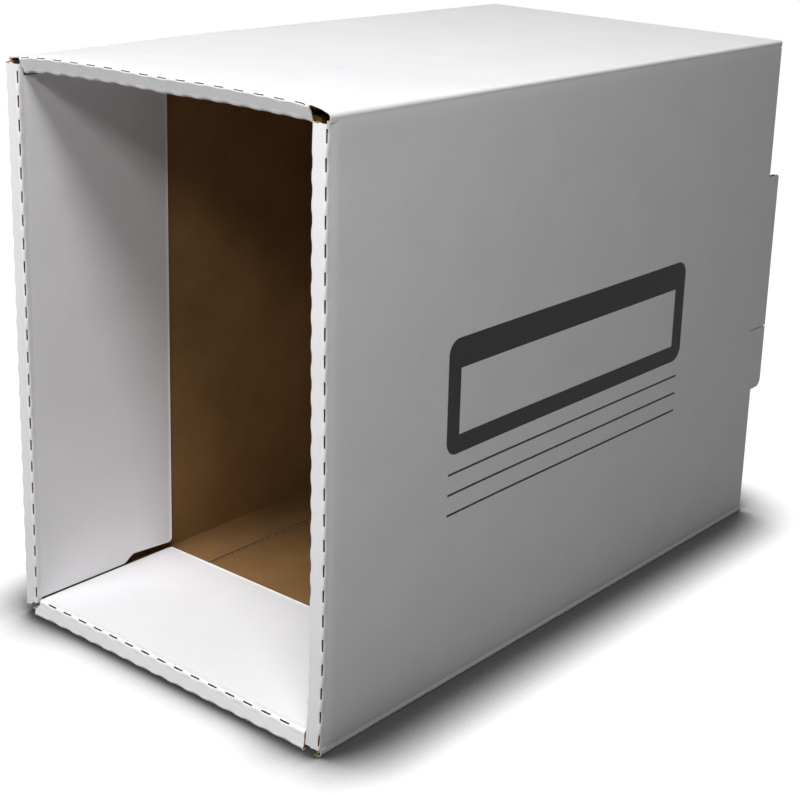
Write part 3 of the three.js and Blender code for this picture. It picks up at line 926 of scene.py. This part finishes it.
# %% Rear flaps
FLAP_ENDS = {"bottom": (4.5, 216.5), "top": (7.5, 219.5), "right": (4.5, 306.5)}
FLAP_TAPER = {"bottom": (10, 92), "top": (92, 10), "right": (70, 70)}
FLAP_REACH = {"bottom": 92, "top": 92, "right": 70}
FLAP_WHITE, FLAP_BROWN, FLAP_SHOULDER, FLAP_DROP = 2, 2.4, 1.2, 1.6
TONGUE_GAP = (LIP_LOW, LIP_HIGH, -1, LIP_REACH, *ALL_PAPERS)
for side, (x0, x1) in FLAP_ENDS.items():
    reach = FLAP_REACH[side]
    lean_a, lean_b = (Vector((reach, taper)).normalized() for taper in FLAP_TAPER[side])
    flap = board(side + "_flap_board", side + "_flap", (x0, x1, 0, reach),
                 (0, 0, FLAP_WHITE, 0), (0, 0, FLAP_BROWN, 0),
                 rules=[(x0, 0, (-lean_a.x, lean_a.y)), (x1, 0, (lean_b.x, lean_b.y))],
                 windows=[TONGUE_GAP] if side == "right" else [],
                 shoulders=[shoulder(FLAP_BROWN, FLAP_SHOULDER, drop=FLAP_DROP)], along=DEPTH)
    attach(flap, side + "_flap_body")
    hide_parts(side + "_rear_flap")

# %% Rear panel
LOCK_PLAY, LOCK_NOTCH = 3, 0.5
LOCK_LOW, LOCK_HIGH = HEIGHT - LIP_HIGH + LOCK_PLAY, HEIGHT - LIP_LOW - LOCK_PLAY
REAR_INSET = 1.5
lock_notches = [(LOCK_LOW - LOCK_NOTCH, LOCK_HIGH + LOCK_NOTCH, REAR_REACH - stop, REAR_REACH + 1,
                 *papers)
                for stop, papers in ((LINER_STOP, WHITE_PAPER), (mitre(90), BROWN_PAPERS))]
rear = board("rear_panel_board", "rear", (REAR_INSET, HEIGHT - REAR_INSET, 0, REAR_REACH),
             (0, 0, LINER_STOP, 0), (0, 0, mitre(90), 0), windows=lock_notches,
             shoulders=[shoulder(mitre(90), SHOULDER_END),
                        shoulder(REAR_REACH - mitre(90), REAR_REACH - SHOULDER_END,
                                 span_test=lambda x: LOCK_LOW < x < LOCK_HIGH)])
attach(rear, "rear_panel_body")
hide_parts("rear_panel")

# %% Lock tab
LOCK_REACH, LOCK_ROUND = 13, 5
lock = board("rear_lock_tab_board", "lock", (LOCK_LOW, LOCK_HIGH, 0, LOCK_REACH),
             (0, 0, LINER_STOP, 0), (0, 0, mitre(90), 0),
             rounds=[(x, LOCK_REACH, LOCK_ROUND) for x in (LOCK_LOW, LOCK_HIGH)],
             shoulders=[shoulder(mitre(90), SHOULDER_END)])
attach(lock, "lock_tab_body")
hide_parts("rear_lock_tab")

# %% Rear creases
def rear_crease(name, hinge, on, y, x0, x1, tangent=TANGENT):
    """A plain crease without slits, at y of the flat frame it is on, from x0 to x1."""
    FOLD[hinge] = FOLD[on] @ at(0, y, 0) @ turn(180, "Z")
    strip = crease(name, hinge, -x1, -x0, 90, tangent=tangent)
    joined(strip)


FLAP_TANGENT = 3
for side, name, x0, x1 in (("bottom", "bottom_rear_crease", *FLAP_ENDS["bottom"]),
                           ("top", "top_rear_crease", *FLAP_ENDS["top"]),
                           ("right", "right_rear_crease", FLAP_ENDS["right"][0], LIP_LOW),
                           ("right", "right_rear_crease_high", LIP_HIGH, FLAP_ENDS["right"][1])):
    rear_crease(name, side + "_hinge", side, DEPTH, x0, x1,
                tangent=FLAP_TANGENT)
rear_crease("rear_panel_crease", "rear_hinge", "left", REAR_OUTSIDE, REAR_INSET, LEFT_SPAN)
rear_crease("rear_lock_crease", "lock_hinge", "rear", REAR_REACH, LOCK_LOW, LOCK_HIGH)

# %% [markdown]
# ## Floor and light
#
# The floor is plain and pale. Its own colour is a quiet grey, so that it throws little light on
# the walls; for the camera alone it is white. An ambient occlusion node tells how much of the
# sky a point of the floor sees, and darkens the floor's grey and its white glow near the box: a
# painted shadow under the box, on top of what the lamps cast. Five disc lamps light the box, and
# the world is white for the camera alone, so that no dark horizon shows.

# %% Floor
bpy.ops.object.select_all(action="DESELECT")
bpy.ops.mesh.primitive_plane_add(size=30, location=(0, 0, -0.0002))
floor = bpy.context.object
floor.name = "studio_floor"
studio_white = bpy.data.materials.new("studio_white")
studio_white.use_nodes = True
tree = studio_white.node_tree
tree.nodes.remove(tree.nodes["Principled BSDF"])
# Painted shadow: the ambient occlusion below darkens the floor's grey and its camera-only white
# near the box.
near = add_node(studio_white, "AmbientOcclusion", {"Distance": 0.05}, samples=16)
open_sky = add_node(studio_white, "MapRange", {"Value": (near, "AO"), "From Min": 0.55,
                                               "From Max": 0.98, "To Min": 0.0, "To Max": 1.0})
fading = add_node(studio_white, "Math", {0: (open_sky, "Result"), 1: 1.9}, operation="POWER")
painted_shadow = add_node(studio_white, "MapRange", {"Value": (fading, "Value"), "From Min": 0.0,
                                           "From Max": 1.0, "To Min": 0.04, "To Max": 1.0})
grey = add_node(studio_white, "Mix", {"Factor": (painted_shadow, "Result"), "A": linear("#202020"),
                                      "B": linear("#6E6E6E")}, data_type="RGBA")
matt = add_node(studio_white, "BsdfDiffuse", {"Color": (grey, "Result")})
path = add_node(studio_white, "LightPath")
seen = add_node(studio_white, "Math", {0: (path, "Is Camera Ray"), 1: (path, "Is Glossy Ray")},
                operation="MAXIMUM")
glow = add_node(studio_white, "Math", {0: (seen, "Value"), 1: (painted_shadow, "Result")},
                operation="MULTIPLY")
white = add_node(studio_white, "Emission", {"Strength": (glow, "Value")})
both = add_node(studio_white, "AddShader", {0: (matt, "BSDF"), 1: (white, "Emission")})
tree.links.new(both.outputs["Shader"], tree.nodes["Material Output"].inputs["Surface"])
floor.data.materials.append(studio_white)

# %% Light
AIM = Vector((0, -0.15, 0.15))
for name, place, size, power in (("right_lamp", (0.50, -0.70, 0.70), 0.14, 1.5),
                                 ("high_right_lamp", (0.65, -0.69, 1.40), 0.4, 8.8),
                                 ("high_front_lamp", (0.05, -0.80, 1.70), 0.5, 12.4),
                                 ("front_left_lamp", (-0.30, -1.20, 0.80), 0.4, 6.6),
                                 ("rear_top_lamp", (-0.10, 0.50, 1.20), 0.5, 2.0)):
    bpy.ops.object.light_add(type="AREA", location=place)
    lamp = bpy.context.object
    lamp.name = name
    lamp.data.shape = "DISK"
    lamp.data.size = size
    lamp.data.energy = power
    lamp.rotation_euler = (AIM - Vector(place)).to_track_quat("-Z", "Y").to_euler()
    print(name, power, "W")

# %% Backdrop
AMBIENT = 0.004
world = bpy.data.worlds.new("studio")
bpy.context.scene.world = world
world.use_nodes = True
backdrop = world.node_tree.nodes["Background"]
backdrop.inputs["Color"].default_value = (1, 1, 1, 1)
sight = add_node(world, "LightPath")
above = add_node(world, "MapRange", {"Value": (sight, "Is Camera Ray"), "To Min": AMBIENT,
                                     "To Max": 1.0})
world.node_tree.links.new(above.outputs["Result"], backdrop.inputs["Strength"])
bpy.context.scene.view_settings.view_transform = "Standard"
